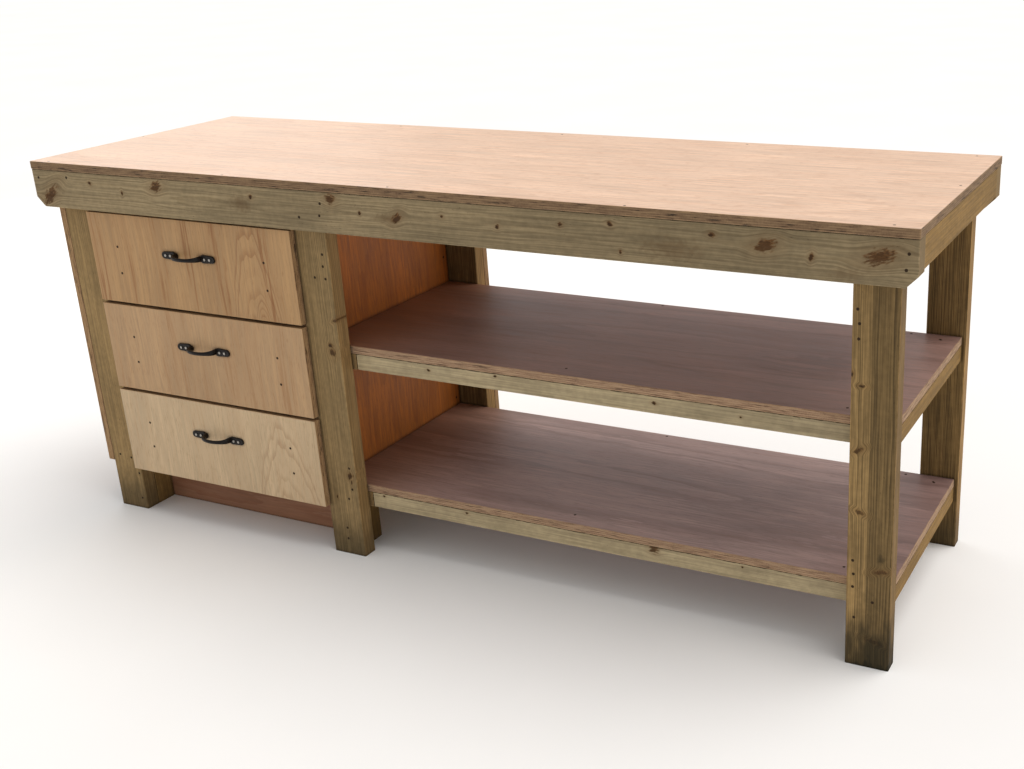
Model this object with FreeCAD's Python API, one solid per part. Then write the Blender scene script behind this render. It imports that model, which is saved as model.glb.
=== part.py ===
"""Timber workbench with three drawers on the left and two open shelves on the right.

All lengths are millimetres. The frame has +Z up, +X to the right along the worktop and +Y to the
back. The origin lies on the floor, under the middle of the worktop.
"""
import FreeCAD, Part
import math
import os

# Driving dimensions of the whole bench
BENCH_LENGTH = 2120.0
WORKTOP_DEPTH = 674.0
BENCH_HEIGHT = 900.0

# Stock that the bench is cut from
PLY = 18.0
STUD_THICK = 38.0
STUD_WIDE = 89.0
BATTEN_WIDE = 63.0
STUD_ARRIS = 3.0
BATTEN_ARRIS = 1.5
PLY_ARRIS = 0.6

# Underframe
RAIL_SETBACK = 1.0
RAIL_CHAMFER = 23.0
MIDDLE_LEG_RIGHT = -241.0
FOOT_BLOCK_DEPTH = 70.0

# Shelves, each measured to the top of its board
UPPER_SHELF_TOP = 514.0
LOWER_SHELF_TOP = 172.0
SHELF_END_INSET = 9.0
SHELF_SIDE_GAP = 1.0
SHELF_LEFT_RAIL_INSET = 36.0
SHELF_JOINT_GAP = 2.5

# Drawer fronts
DRAWER_NAMES = ("bottom", "middle", "top")
DRAWER_BASE = 123.0
DRAWER_FRONT_HEIGHT = 215.5
DRAWER_FRONT_GAP = 7.5
DRAWER_FRONT_STANDOFF = 0.5
DRAWER_LEFT_OVERLAP = 1.0
DRAWER_RIGHT_OVERLAP = 5.0
CABINET_PANEL_BASE = 124.0

# Drawer boxes and the slides that carry them
BOX_BOARD = 15.0
BOX_HEIGHT = 150.0
BOX_RISE = 25.0
BOX_DEPTH = 500.0
BOX_BOTTOM = 6.0
BOX_GROOVE = 6.0
BOX_GROOVE_RISE = 10.0
SLIDE_SPACE = 12.7
SLIDE_HEIGHT = 45.0
SLIDE_SHEET = 1.2
SLIDE_SETBACK = 4.0
SLIDE_AIR = 0.5
SLIDE_BALL = 3.2
SLIDE_LIP = 2.4
SLIDE_INNER_MOUTH = 4.2

# Cast pull handles
HANDLE_LENGTH = 158.0
HANDLE_RISE = 22.5
PLATE_LENGTH = 43.0
PLATE_END_RADIUS = 8.0
PLATE_ROOT_RADIUS = 9.5
PLATE_THICK = 4.0
PLATE_CHAMFER = 1.0
HANDLE_REACH = 28.0
GRIP_ROOT = 37.0
GRIP_HEIGHT = 8.5
GRIP_THICK = 7.0
GRIP_SWELL = 0.6
GRIP_SQUARENESS = 0.75
GRIP_SEGMENTS = 20
GRIP_SIDES = 14
SCREW_OUTER = 66.0
SCREW_INNER = 51.5
SCREW_SHANK_RADIUS = 1.9
SCREW_HEAD_RADIUS = 3.0
SCREW_HEAD_DEPTH = 1.7
SCREW_LENGTH = 14.0
SCREW_CLEARANCE = 0.15

# Largest rounding error that still counts as flush or parallel
ROUNDING = 1e-6

# Places worked out from the dimensions above
FRONT = -WORKTOP_DEPTH / 2
BACK = WORKTOP_DEPTH / 2
RAIL_BACK = RAIL_SETBACK + STUD_THICK
DRAWER_FACE = FRONT + RAIL_BACK - DRAWER_FRONT_STANDOFF - PLY
HALF = BENCH_LENGTH / 2
FRAME_TOP = BENCH_HEIGHT - PLY
RAIL_BASE = FRAME_TOP - STUD_WIDE
LEG_FRONT = FRONT + RAIL_BACK
LEG_BACK = LEG_FRONT + STUD_THICK
REAR_LEG_BACK = BACK - RAIL_BACK
REAR_LEG_FRONT = REAR_LEG_BACK - STUD_THICK
RAIL_END = HALF - RAIL_SETBACK
LEG_OUTSIDE = RAIL_END - STUD_THICK
LEFT_LEG_RIGHT = -LEG_OUTSIDE + STUD_WIDE
RIGHT_LEG_LEFT = LEG_OUTSIDE - STUD_WIDE
MIDDLE_LEG_LEFT = MIDDLE_LEG_RIGHT - STUD_WIDE
DIVIDER_LEFT = MIDDLE_LEG_LEFT - PLY
CROSS_RAIL_BASE = FRAME_TOP - BATTEN_WIDE
SHELF_FRAME_DEPTH = PLY + STUD_THICK
FOOT_BLOCK_TOP = LOWER_SHELF_TOP - SHELF_FRAME_DEPTH
MIDDLE_BLOCK_LEFT = MIDDLE_LEG_LEFT + PLY
SHELF_RIGHT = LEG_OUTSIDE - SHELF_END_INSET
SHELF_LEFT = MIDDLE_LEG_LEFT + SHELF_SIDE_GAP
BOX_LEFT = LEFT_LEG_RIGHT + SLIDE_SPACE
BOX_RIGHT = DIVIDER_LEFT - SLIDE_SPACE
BOX_FRONT = DRAWER_FACE + PLY
BOX_BACK = BOX_FRONT + BOX_DEPTH
DRAWER_LEFT = LEFT_LEG_RIGHT + DRAWER_LEFT_OVERLAP
DRAWER_RIGHT = MIDDLE_LEG_LEFT + DRAWER_RIGHT_OVERLAP
DRAWER_CENTRE = (DRAWER_LEFT + DRAWER_RIGHT) / 2

UP = FreeCAD.Vector(0, 0, 1)
TO_BACK = FreeCAD.Vector(0, 1, 0)
TO_RIGHT = FreeCAD.Vector(1, 0, 0)


def block(x_span, y_span, z_span):
    """A plain box between two values on each axis."""
    size = [high - low for low, high in (x_span, y_span, z_span)]
    corner = FreeCAD.Vector(x_span[0], y_span[0], z_span[0])
    return Part.makeBox(size[0], size[1], size[2], corner)


def runs_along(edge, axis):
    """Whether a straight edge lies along one of the axes."""
    if not isinstance(edge.Curve, Part.Line):
        return False
    return abs(abs(edge.tangentAt(edge.FirstParameter).dot(axis)) - 1) < ROUNDING


def long_edges(solid, axis):
    """The straight edges of a solid that lie along one of the axes."""
    return [edge for edge in solid.Edges if runs_along(edge, axis)]


def stud(x_span, y_span, z_span, axis):
    """Wide planed timber along the axis, with rounded arrises."""
    solid = block(x_span, y_span, z_span)
    return solid.makeFillet(STUD_ARRIS, long_edges(solid, axis))


def batten(x_span, y_span, z_span, axis):
    """Narrow timber along the axis, with its arrises planed off flat."""
    solid = block(x_span, y_span, z_span)
    return solid.makeChamfer(BATTEN_ARRIS, long_edges(solid, axis))


def ply_board(x_span, y_span, z_span):
    """A sheet of plywood with its sharp edges just broken."""
    board = block(x_span, y_span, z_span)
    return board.makeChamfer(PLY_ARRIS, board.Edges)


def prism(outline, depth):
    """Extrude a closed outline of points along a vector."""
    wire = Part.makePolygon([*outline, outline[0]])
    return Part.Face(wire).extrude(depth)


def long_rail(y_front):
    """A full-length rail on edge, with both lower corners cut back."""
    shape = [(-RAIL_END, FRAME_TOP), (RAIL_END, FRAME_TOP), (RAIL_END, RAIL_BASE + RAIL_CHAMFER)]
    shape += [(RAIL_END - RAIL_CHAMFER, RAIL_BASE), (-RAIL_END + RAIL_CHAMFER, RAIL_BASE)]
    shape += [(-RAIL_END, RAIL_BASE + RAIL_CHAMFER)]
    outline = [FreeCAD.Vector(x, y_front, z) for x, z in shape]
    solid = prism(outline, TO_BACK * STUD_THICK)
    return solid.makeFillet(STUD_ARRIS, long_edges(solid, TO_RIGHT))


def cross_rail(x_left):
    """A shallower rail that joins the two long rails from front to back."""
    x_span = (x_left, x_left + STUD_THICK)
    return batten(x_span, (LEG_FRONT, REAR_LEG_BACK), (CROSS_RAIL_BASE, FRAME_TOP), TO_BACK)


def leg(x_left, y_front, top):
    """A full-height leg with its wide face to the front."""
    x_span = (x_left, x_left + STUD_WIDE)
    return stud(x_span, (y_front, y_front + STUD_THICK), (0, top), UP)


def foot_block(x_left):
    """A short upright behind a front leg that carries what rests above it."""
    x_span = (x_left, x_left + STUD_THICK)
    return batten(x_span, (LEG_BACK, LEG_BACK + FOOT_BLOCK_DEPTH), (0, FOOT_BLOCK_TOP), UP)


def shelf_parts(top):
    """One shelf: a ply board on a frame of timber laid flat."""
    frame_z = (top - SHELF_FRAME_DEPTH, top - PLY)
    left_rail = (SHELF_LEFT + SHELF_LEFT_RAIL_INSET, SHELF_LEFT + SHELF_LEFT_RAIL_INSET + BATTEN_WIDE)
    right_rail = (SHELF_RIGHT - BATTEN_WIDE, SHELF_RIGHT)
    long_x = (left_rail[1] + SHELF_JOINT_GAP, right_rail[0])
    depth = (LEG_BACK, REAR_LEG_FRONT)
    return {
        "board": ply_board((SHELF_LEFT, SHELF_RIGHT), depth, (top - PLY, top)),
        "front_rail": batten(long_x, (depth[0], depth[0] + BATTEN_WIDE), frame_z, TO_RIGHT),
        "rear_rail": batten(long_x, (depth[1] - BATTEN_WIDE, depth[1]), frame_z, TO_RIGHT),
        "left_rail": batten(left_rail, depth, frame_z, TO_BACK),
        "right_rail": batten(right_rail, depth, frame_z, TO_BACK),
    }


def outer_slide_side():
    """Upper half of an outer slide member: a channel open to the drawer, with a lip at its mouth."""
    half = SLIDE_HEIGHT / 2
    mouth = SLIDE_SPACE - SLIDE_AIR - SLIDE_SHEET
    inside = half - SLIDE_SHEET
    side = [(0, half), (mouth, half), (mouth, half - SLIDE_LIP)]
    side += [(mouth - SLIDE_SHEET, half - SLIDE_LIP), (mouth - SLIDE_SHEET, inside)]
    return side + [(SLIDE_SHEET, inside)]


def inner_slide_side():
    """Upper half of an inner slide member: a smaller channel, with a ball race left round it."""
    half = SLIDE_HEIGHT / 2 - SLIDE_SHEET - SLIDE_BALL
    inside = half - SLIDE_SHEET
    side = [(SLIDE_SPACE, half), (SLIDE_INNER_MOUTH, half), (SLIDE_INNER_MOUTH, inside)]
    return side + [(SLIDE_SPACE - SLIDE_SHEET, inside)]


def slide_profile(mirror, inner):
    """Whole section of one slide member as (x, z) points, with x from what the slide is fixed to."""
    side = inner_slide_side() if inner else outer_slide_side()
    points = side + [(x, -z) for x, z in reversed(side)]
    return [(-x if mirror else x, z) for x, z in points]


def slide_member(anchor_x, mirror, height, inner):
    """One member of a drawer slide, at the height of its drawer."""
    start = LEG_FRONT + SLIDE_SETBACK
    outline = []
    for x, z in slide_profile(mirror, inner):
        outline.append(FreeCAD.Vector(anchor_x + x, start, height + z))
    return prism(outline, TO_BACK * (BOX_DEPTH - 2 * SLIDE_SETBACK))


def slide_pair(height, inner):
    """Left and right members of one drawer's slides."""
    left = slide_member(LEFT_LEG_RIGHT, False, height, inner)
    right = slide_member(DIVIDER_LEFT, True, height, inner)
    return [left, right]


def box_groove(base):
    """The space that a drawer's bottom panel fills, groove and all."""
    inside = BOX_BOARD - BOX_GROOVE
    z_low = base + BOX_GROOVE_RISE
    x_span = (BOX_LEFT + inside, BOX_RIGHT - inside)
    y_span = (BOX_FRONT + inside, BOX_BACK - inside)
    return block(x_span, y_span, (z_low, z_low + BOX_BOTTOM))


def box_boards(base):
    """The five boards of a drawer box: the bottom sits in grooves in the other four."""
    z_span = (base, base + BOX_HEIGHT)
    front_y = (BOX_FRONT, BOX_FRONT + BOX_BOARD)
    back_y = (BOX_BACK - BOX_BOARD, BOX_BACK)
    side_y = (BOX_FRONT, BOX_BACK)
    between = (BOX_LEFT + BOX_BOARD, BOX_RIGHT - BOX_BOARD)
    groove = box_groove(base)
    return {
        "box_left": ply_board((BOX_LEFT, between[0]), side_y, z_span).cut(groove),
        "box_right": ply_board((between[1], BOX_RIGHT), side_y, z_span).cut(groove),
        "box_front": ply_board(between, front_y, z_span).cut(groove),
        "box_back": ply_board(between, back_y, z_span).cut(groove),
        "box_bottom": groove,
    }


def plate_outline(side):
    """Outline of one handle plate, in x and z: a large round root and a smaller round end."""
    end = HANDLE_LENGTH / 2 - PLATE_END_RADIUS
    root = HANDLE_LENGTH / 2 - PLATE_LENGTH + PLATE_ROOT_RADIUS
    lean = math.asin((PLATE_ROOT_RADIUS - PLATE_END_RADIUS) / (end - root))
    reach = math.sin(lean)
    rise = math.cos(lean)

    def at(x, z):
        return FreeCAD.Vector(side * x, 0, z)

    end_high = at(end + PLATE_END_RADIUS * reach, PLATE_END_RADIUS * rise)
    end_low = at(end + PLATE_END_RADIUS * reach, -PLATE_END_RADIUS * rise)
    root_high = at(root + PLATE_ROOT_RADIUS * reach, PLATE_ROOT_RADIUS * rise)
    root_low = at(root + PLATE_ROOT_RADIUS * reach, -PLATE_ROOT_RADIUS * rise)
    outer_arc = Part.Arc(end_high, at(end + PLATE_END_RADIUS, 0), end_low)
    inner_arc = Part.Arc(root_low, at(root - PLATE_ROOT_RADIUS, 0), root_high)
    edges = [outer_arc.toShape(), Part.makeLine(end_low, root_low)]
    edges += [inner_arc.toShape(), Part.makeLine(root_high, end_high)]
    return Part.Wire(edges)


def handle_plate(side):
    """One flat plate with its front edge eased."""
    plate = Part.Face(plate_outline(side)).extrude(TO_BACK * -PLATE_THICK)
    rim = [edge for edge in plate.Edges if edge.CenterOfMass.y < -PLATE_THICK + ROUNDING]
    return plate.makeChamfer(PLATE_CHAMFER, rim)


def grip_station(share):
    """Centre and half sizes of the grip's section at a share of its length."""
    angle = math.pi * share
    bow = math.sin(angle) ** GRIP_SQUARENESS if 0 < share < 1 else 0
    centre = FreeCAD.Vector(-GRIP_ROOT * math.cos(angle), -HANDLE_REACH * bow, 0)
    swell = 1 + GRIP_SWELL * math.cos(angle) ** 4
    return centre, GRIP_HEIGHT / 2 * swell, GRIP_THICK / 2 * swell


def grip_section(step):
    """Closed oval ring across the grip, square to the way the grip runs there."""
    centre, half_height, half_thick = grip_station(step / GRIP_SEGMENTS)
    ahead = grip_station(min(step + 1, GRIP_SEGMENTS) / GRIP_SEGMENTS)[0]
    behind = grip_station(max(step - 1, 0) / GRIP_SEGMENTS)[0]
    along = (ahead - behind).normalize()
    rise = (UP - along * UP.dot(along)).normalize()
    side = along.cross(rise)
    ring = []
    for corner in range(GRIP_SIDES):
        angle = 2 * math.pi * corner / GRIP_SIDES
        ring.append(centre + rise * half_height * math.cos(angle) + side * half_thick * math.sin(angle))
    return Part.makePolygon([*ring, ring[0]])


def handle_grip():
    """The bowed grip, lofted through oval sections between the two plates."""
    sections = [grip_section(step) for step in range(GRIP_SEGMENTS + 1)]
    return Part.makeLoft(sections, True, True)


def screw_places(height):
    """Where the handle screws meet the drawer front's face."""
    places = []
    for x in (-SCREW_OUTER, -SCREW_INNER, SCREW_INNER, SCREW_OUTER):
        places.append(FreeCAD.Vector(DRAWER_CENTRE + x, DRAWER_FACE, height))
    return places


def screw(place):
    """A round-headed screw, standing square to the drawer front."""
    head_seat = place - TO_BACK * PLATE_THICK
    head = Part.makeCylinder(SCREW_HEAD_RADIUS, SCREW_HEAD_DEPTH, head_seat, -TO_BACK)
    shank = Part.makeCylinder(SCREW_SHANK_RADIUS, PLATE_THICK + SCREW_LENGTH, head_seat, TO_BACK)
    return head.fuse(shank)


def screw_hole(place):
    """The hole in a handle plate that a screw goes through."""
    return Part.makeCylinder(SCREW_SHANK_RADIUS + SCREW_CLEARANCE, PLATE_THICK, place, -TO_BACK)


def handle(height):
    """A whole cast handle at its place on the drawer front, drilled for its screws."""
    body = handle_plate(-1).fuse([handle_plate(1), handle_grip()]).removeSplitter()
    behind = block((-HANDLE_LENGTH, HANDLE_LENGTH), (0, HANDLE_REACH), (-HANDLE_REACH, HANDLE_REACH))
    body = body.cut(behind)
    body.translate(FreeCAD.Vector(DRAWER_CENTRE, DRAWER_FACE, height))
    return body.cut([screw_hole(place) for place in screw_places(height)])


def drawer_front(base):
    """The ply front, which covers the ends of the box and the divider's edge."""
    y_span = (DRAWER_FACE, DRAWER_FACE + PLY)
    return ply_board((DRAWER_LEFT, DRAWER_RIGHT), y_span, (base, base + DRAWER_FRONT_HEIGHT))


def drawer_parts(index):
    """Every piece that travels with one drawer, counted from the lowest."""
    base = DRAWER_BASE + index * (DRAWER_FRONT_HEIGHT + DRAWER_FRONT_GAP)
    grip_height = base + DRAWER_FRONT_HEIGHT / 2 + HANDLE_RISE
    slide_height = base + BOX_RISE + BOX_HEIGHT / 2
    parts = {"front": drawer_front(base), "handle": handle(grip_height)}
    parts.update(box_boards(base + BOX_RISE))
    screws = [screw(place) for place in screw_places(grip_height)]
    parts["handle_screws"] = Part.makeCompound(screws)
    parts["slide_inner"] = Part.makeCompound(slide_pair(slide_height, True))
    return parts, slide_height


def underframe():
    """Rails, legs and foot blocks."""
    nodes = {"front_rail": long_rail(FRONT + RAIL_SETBACK)}
    nodes["rear_rail"] = long_rail(REAR_LEG_BACK)
    rails = {"left": -RAIL_END, "middle": MIDDLE_LEG_RIGHT, "right": LEG_OUTSIDE}
    for name, x_left in rails.items():
        nodes[f"cross_rail_{name}"] = cross_rail(x_left)
    legs = {"left": -LEG_OUTSIDE, "middle": MIDDLE_LEG_LEFT, "right": RIGHT_LEG_LEFT}
    for name, x_left in legs.items():
        nodes[f"leg_front_{name}"] = leg(x_left, LEG_FRONT, FRAME_TOP)
        nodes[f"leg_rear_{name}"] = leg(x_left, REAR_LEG_FRONT, FRAME_TOP)
    blocks = {"left": LEFT_LEG_RIGHT - STUD_THICK, "middle": MIDDLE_BLOCK_LEFT, "right": RIGHT_LEG_LEFT}
    for name, x_left in blocks.items():
        nodes[f"foot_block_{name}"] = foot_block(x_left)
    return nodes


def cabinet():
    """The ply panels round the drawers and the battens that carry their left slides."""
    panel_y = (LEG_FRONT, REAR_LEG_BACK)
    side_z = (CABINET_PANEL_BASE, CROSS_RAIL_BASE)
    divider_z = (CABINET_PANEL_BASE, FRAME_TOP)
    plinth_y = (LEG_BACK + FOOT_BLOCK_DEPTH - PLY, LEG_BACK + FOOT_BLOCK_DEPTH)
    side_x = (-LEG_OUTSIDE - PLY, -LEG_OUTSIDE)
    nodes = {"side_panel": ply_board(side_x, panel_y, side_z)}
    nodes["divider_panel"] = ply_board((DIVIDER_LEFT, MIDDLE_LEG_LEFT), panel_y, divider_z)
    plinth_x = (LEFT_LEG_RIGHT, MIDDLE_BLOCK_LEFT)
    nodes["plinth_board"] = ply_board(plinth_x, plinth_y, (0, FOOT_BLOCK_TOP))
    return nodes


def slide_bearer(height):
    """A batten from leg to leg that the left slide of one drawer is fixed to."""
    x_span = (LEFT_LEG_RIGHT - STUD_THICK, LEFT_LEG_RIGHT)
    z_span = (height - BATTEN_WIDE / 2, height + BATTEN_WIDE / 2)
    return batten(x_span, (LEG_BACK, REAR_LEG_FRONT), z_span, TO_BACK)


def workbench():
    """All nodes of the bench by name."""
    top_z = (FRAME_TOP, BENCH_HEIGHT)
    nodes = {"worktop": ply_board((-HALF, HALF), (FRONT, BACK), top_z)}
    nodes.update(underframe())
    nodes.update(cabinet())
    for name, top in {"upper": UPPER_SHELF_TOP, "lower": LOWER_SHELF_TOP}.items():
        for piece, shape in shelf_parts(top).items():
            nodes[f"{name}_shelf_{piece}"] = shape
    fixed_slides = []
    for index, name in enumerate(DRAWER_NAMES):
        parts, slide_height = drawer_parts(index)
        for piece, shape in parts.items():
            nodes[f"{name}_drawer_{piece}"] = shape
        nodes[f"slide_bearer_{name}"] = slide_bearer(slide_height)
        fixed_slides += slide_pair(slide_height, False)
    nodes["drawer_slides_outer"] = Part.makeCompound(fixed_slides)
    return nodes


def main():
    """Write one STEP file for each node."""
    os.makedirs("parts", exist_ok=True)
    for name, shape in workbench().items():
        shape.exportStep(f"parts/{name}.step")


main()
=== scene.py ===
"""Looks for a timber workbench: boards, ply sheets, iron pulls, screws and a plain studio.

Everything is in metres in the bench's own frame: +Z up, +X to the right along the worktop and +Y to
the back. The boards come from the frame, so places and sizes are read from it wherever they can be.
"""

import inspect
import math
import random

import bmesh
import bpy
from bpy.props import FloatProperty, FloatVectorProperty, PointerProperty
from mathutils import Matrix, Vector


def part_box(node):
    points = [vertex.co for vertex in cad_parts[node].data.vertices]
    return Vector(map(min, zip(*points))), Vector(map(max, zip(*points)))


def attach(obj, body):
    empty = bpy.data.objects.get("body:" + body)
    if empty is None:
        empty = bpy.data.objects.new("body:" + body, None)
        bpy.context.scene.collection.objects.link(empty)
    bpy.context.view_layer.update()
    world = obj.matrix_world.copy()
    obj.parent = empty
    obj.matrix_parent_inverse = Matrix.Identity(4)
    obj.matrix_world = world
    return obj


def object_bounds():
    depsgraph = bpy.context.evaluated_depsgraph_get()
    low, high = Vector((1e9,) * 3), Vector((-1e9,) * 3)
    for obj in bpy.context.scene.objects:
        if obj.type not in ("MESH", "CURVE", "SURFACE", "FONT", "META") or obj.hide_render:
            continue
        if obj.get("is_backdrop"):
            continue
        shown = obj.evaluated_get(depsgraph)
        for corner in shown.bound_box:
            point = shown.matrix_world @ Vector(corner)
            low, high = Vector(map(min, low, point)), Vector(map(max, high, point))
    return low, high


bl_info = {
    "name": "Workbench Looks",
    "version": (1, 0, 0),
    "blender": (4, 5, 0),
    "location": "3D View > Sidebar > Workbench",
    "description": "Finishes the boards, drawers and fittings of a timber workbench",
    "category": "Object",
}

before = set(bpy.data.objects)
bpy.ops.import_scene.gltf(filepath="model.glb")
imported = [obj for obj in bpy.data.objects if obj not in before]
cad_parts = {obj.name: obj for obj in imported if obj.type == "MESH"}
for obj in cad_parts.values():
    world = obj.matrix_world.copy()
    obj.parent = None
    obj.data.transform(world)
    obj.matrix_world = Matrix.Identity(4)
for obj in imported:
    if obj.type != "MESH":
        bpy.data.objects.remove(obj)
CAD_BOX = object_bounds()
BENCH = "bench"
DRAWERS = ("bottom", "middle", "top")
SHELVES = ("upper", "lower")

# Camera, placed to give the photograph's view of the bench
CAMERA_PLACE = (1.5766, -2.4191, 1.4309)
CAMERA_TURN = (69.276, 1.735, 25.107)
CAMERA_LENS = 45.17
CAMERA_SENSOR = 36.0
CAMERA_SHIFT_X = -0.148

# Studio
FLOOR_SIZE = 60.0
FLOOR_TONES = ((0.90, 0.90, 0.90), (0.93, 0.93, 0.93))
FLOOR_ROUGHNESS = 0.9
SKY_STRENGTH = 0.62
BACKDROP_STRENGTH = 1.0
SUN_STRENGTH = 1.85
SUN_COLOUR = (1.0, 0.95, 0.89)
SUN_PLACE = (1.3, 0.55, 3.0)
SUN_SPREAD = 50.0
SOFTBOX_PLACE = (-3.6, 2.4, 2.2)
SOFTBOX_AIM = (-0.9, 0.0, 0.9)
SOFTBOX_SIZE = 2.4
SOFTBOX_POWER = 26.0

# Fasteners that lie in the boards
SCREW_MAP = "ScrewPlace"
SCREW_LIFT = 0.00012
SCREW_DEPTH = 0.0008
SCREW_SIDES = 16

# Back panel of the drawer cabinet
BACK_PANEL = "back_panel"
SHEET_THICK = 0.018
SHEET_ARRIS = 0.0006

# Ply and timber
LAYER_THICK = 0.0022
STRIP_GAIN = 1.56
STRIP_BLUR = 0.0015
ARRIS_GAIN = 1.30
JOINT_REACH = 0.007
JOINT_SHADE = 0.4
# Width of the painted shadow line along the top of each rail
SEAM_WIDTH = 0.0018
SMALL_KNOT = 0.0065
KNOT_REACH = (3.4, 0.5)
KNOT_PULL = -0.8
STRAY_SPACING = (9.0, 0.0, 4.5)
STRAY_RADIUS = 0.06
STRAY_SHARE = 0.22
STRAY_SHARE_AMONG_KNOTS = 0.08
HANDLE_RUB = 0.0010
STEEL_SHADE = (0.72, 0.72, 0.74)

# How rough and glossy the surfaces are, and each bump as its strength and height
NOISE_RANGE = (0.3, 0.7)
EDGE_ROUGHNESS = 0.95
TIMBER_GLOSS = 0.18
SCREW_GLOSS = 0.2
IRON_GLOSS = 0.22
TIMBER_BUMP = (0.45, 0.0004)
PLY_BUMP = (0.35, 0.0003)
IRON_BUMP = (0.4, 0.0003)
STEEL_BUMP = (0.2, 0.0001)
SCREW_BUMP = (0.6, 0.0004)


def shade(red, green, blue):
    """A colour given as it looks on a screen, 0 to 255, as the linear values that shaders use."""
    linear = []
    for part in (red, green, blue):
        value = part / 255
        linear.append(value / 12.92 if value <= 0.04045 else ((value + 0.055) / 1.055) ** 2.4)
    return tuple(linear)


def colour_prop(name, description, *levels):
    """A colour that a user may change."""
    return FloatVectorProperty(
        name=name, description=description, subtype="COLOR", min=0, max=1, default=shade(*levels)
    )


def length_prop(name, description, default):
    """A length that a user may change."""
    return FloatProperty(name=name, description=description, unit="LENGTH", min=0, default=default)


class WorkbenchColours(bpy.types.PropertyGroup):
    """Colours of the timber, ply and fittings."""

    timber_pale: colour_prop("Timber, grey", "Early wood of a grey-green treated board", 150, 134, 104)
    timber_warm: colour_prop("Timber, warm", "Early wood of a warmer treated board", 147, 116, 68)
    # Also lightens the legs' sides as painted light where the sun falls on them
    timber_edge: colour_prop("Timber, edge", "Warm sawn edge of a treated leg", 146, 114, 70)
    timber_dark: colour_prop("Timber, dark", "Late wood lines of the treated softwood", 92, 74, 46)
    knot: colour_prop("Knot", "Core of a softwood knot", 104, 67, 32)
    # Also the dark of the painted shadow lines on the rails and of the painted shade in sunk screw holes
    knot_rim: colour_prop("Knot rim", "Bark and flecks round a knot", 38, 25, 12)
    end_grain: colour_prop("End grain", "Sawn ends of the boards", 122, 98, 64)
    stain: colour_prop("Stain", "Brown stains of the treated softwood", 92, 68, 42)
    dirt: colour_prop("Dirt", "Dirt near the floor", 34, 32, 20)
    worktop_pale: colour_prop("Worktop, pale", "Face veneer of the worktop", 226, 192, 166)
    worktop_dark: colour_prop("Worktop, dark", "Figure of the worktop's veneer", 186, 138, 104)
    drawer_top: colour_prop("Top drawer", "Face veneer of the top drawer front", 176, 139, 95)
    drawer_middle: colour_prop("Middle drawer", "Face veneer of the middle drawer front", 181, 147, 108)
    drawer_bottom: colour_prop("Bottom drawer", "Face veneer of the bottom drawer front", 199, 173, 137)
    drawer_dark: colour_prop("Drawer figure", "Figure of the drawer fronts", 130, 82, 42)
    # The divider's veneer, made deeper and more orange as painted warm bounce light in the shade under the
    # worktop
    divider_pale: colour_prop("Divider", "Face veneer of the divider panel", 186, 110, 44)
    side_pale: colour_prop("Side panel", "Face veneer of the side and back panels", 184, 142, 104)
    panel_dark: colour_prop("Panel figure", "Figure of the cabinet panels", 112, 62, 32)
    plinth: colour_prop("Plinth", "Face veneer of the plinth board", 152, 108, 81)
    shelf_upper: colour_prop("Upper shelf", "Face veneer of the upper shelf", 144, 115, 107)
    # Lighter than the upper shelf's colour, partly as a different sheet and partly as painted light on the lower
    # shelf
    shelf_lower: colour_prop("Lower shelf", "Face veneer of the lower shelf", 177, 148, 141)
    shelf_dark: colour_prop("Shelf figure", "Figure of the shelves", 97, 70, 60)
    box_pale: colour_prop("Drawer box, pale", "Face veneer of the drawer boxes", 200, 172, 132)
    box_dark: colour_prop("Drawer box, dark", "Figure of the drawer boxes", 160, 124, 84)
    core_pale: colour_prop("Ply core, pale", "Long grain layers of a ply edge", 180, 146, 104)
    core_dark: colour_prop("Ply core, dark", "End grain layers of a ply edge", 104, 72, 49)
    iron: colour_prop("Iron", "Black skin of the pull handles", 16, 9, 5)
    iron_worn: colour_prop("Iron, worn", "Rubbed edges of the pull handles", 56, 40, 28)
    zinc: colour_prop("Zinc", "Bright plated steel", 168, 163, 155)
    bronze: colour_prop("Bronzed screw", "Dull head of a timber screw", 54, 38, 22)


class WorkbenchSizes(bpy.types.PropertyGroup):
    """Sizes of the finishing detail."""

    screw_radius: length_prop("Screw radius", "Radius of a sunk screw with its rim", 0.0030)
    ring_width: length_prop("Ring width", "Mean distance between growth rings", 0.0030)
    wear_width: length_prop("Wear width", "Width of the rubbed strip along an arris", 0.0030)
    dirt_height: length_prop("Dirt height", "How high the dirt on the feet reaches", 0.10)


# Small helpers for shader trees


def feed(socket, value):
    """Give a socket a constant, or link another socket to it."""
    if isinstance(value, bpy.types.NodeSocket):
        socket.id_data.links.new(value, socket)
    elif socket.type == "RGBA" and len(value) == 3:
        socket.default_value = (*value, 1)
    else:
        socket.default_value = value


def node(kind, inputs=None, tree=None, **settings):
    """Add a node with its settings and inputs, to a tree or beside the first socket that feeds it."""
    inputs = inputs or {}
    if tree is None:
        tree = next(value.id_data for value in inputs.values() if isinstance(value, bpy.types.NodeSocket))
    made = tree.nodes.new(kind)
    for name, value in settings.items():
        setattr(made, name, value)
    for name, value in inputs.items():
        feed(made.inputs[name], value)
    return made


def maths(operation, first, second=0.0, third=0.0):
    """One arithmetic step."""
    return node("ShaderNodeMath", {0: first, 1: second, 2: third}, operation=operation).outputs[0]


def times(first, second):
    """Multiply two values."""
    return maths("MULTIPLY", first, second)


def scaled(value, factor, more):
    """Multiply a value and add more to it."""
    return maths("MULTIPLY_ADD", value, factor, more)


def vector(operation, first, second=(0, 0, 0)):
    """One step of vector arithmetic."""
    made = node("ShaderNodeVectorMath", {0: first, 1: second}, operation=operation)
    return made.outputs["Value" if operation in ("LENGTH", "DOT_PRODUCT") else "Vector"]


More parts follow.
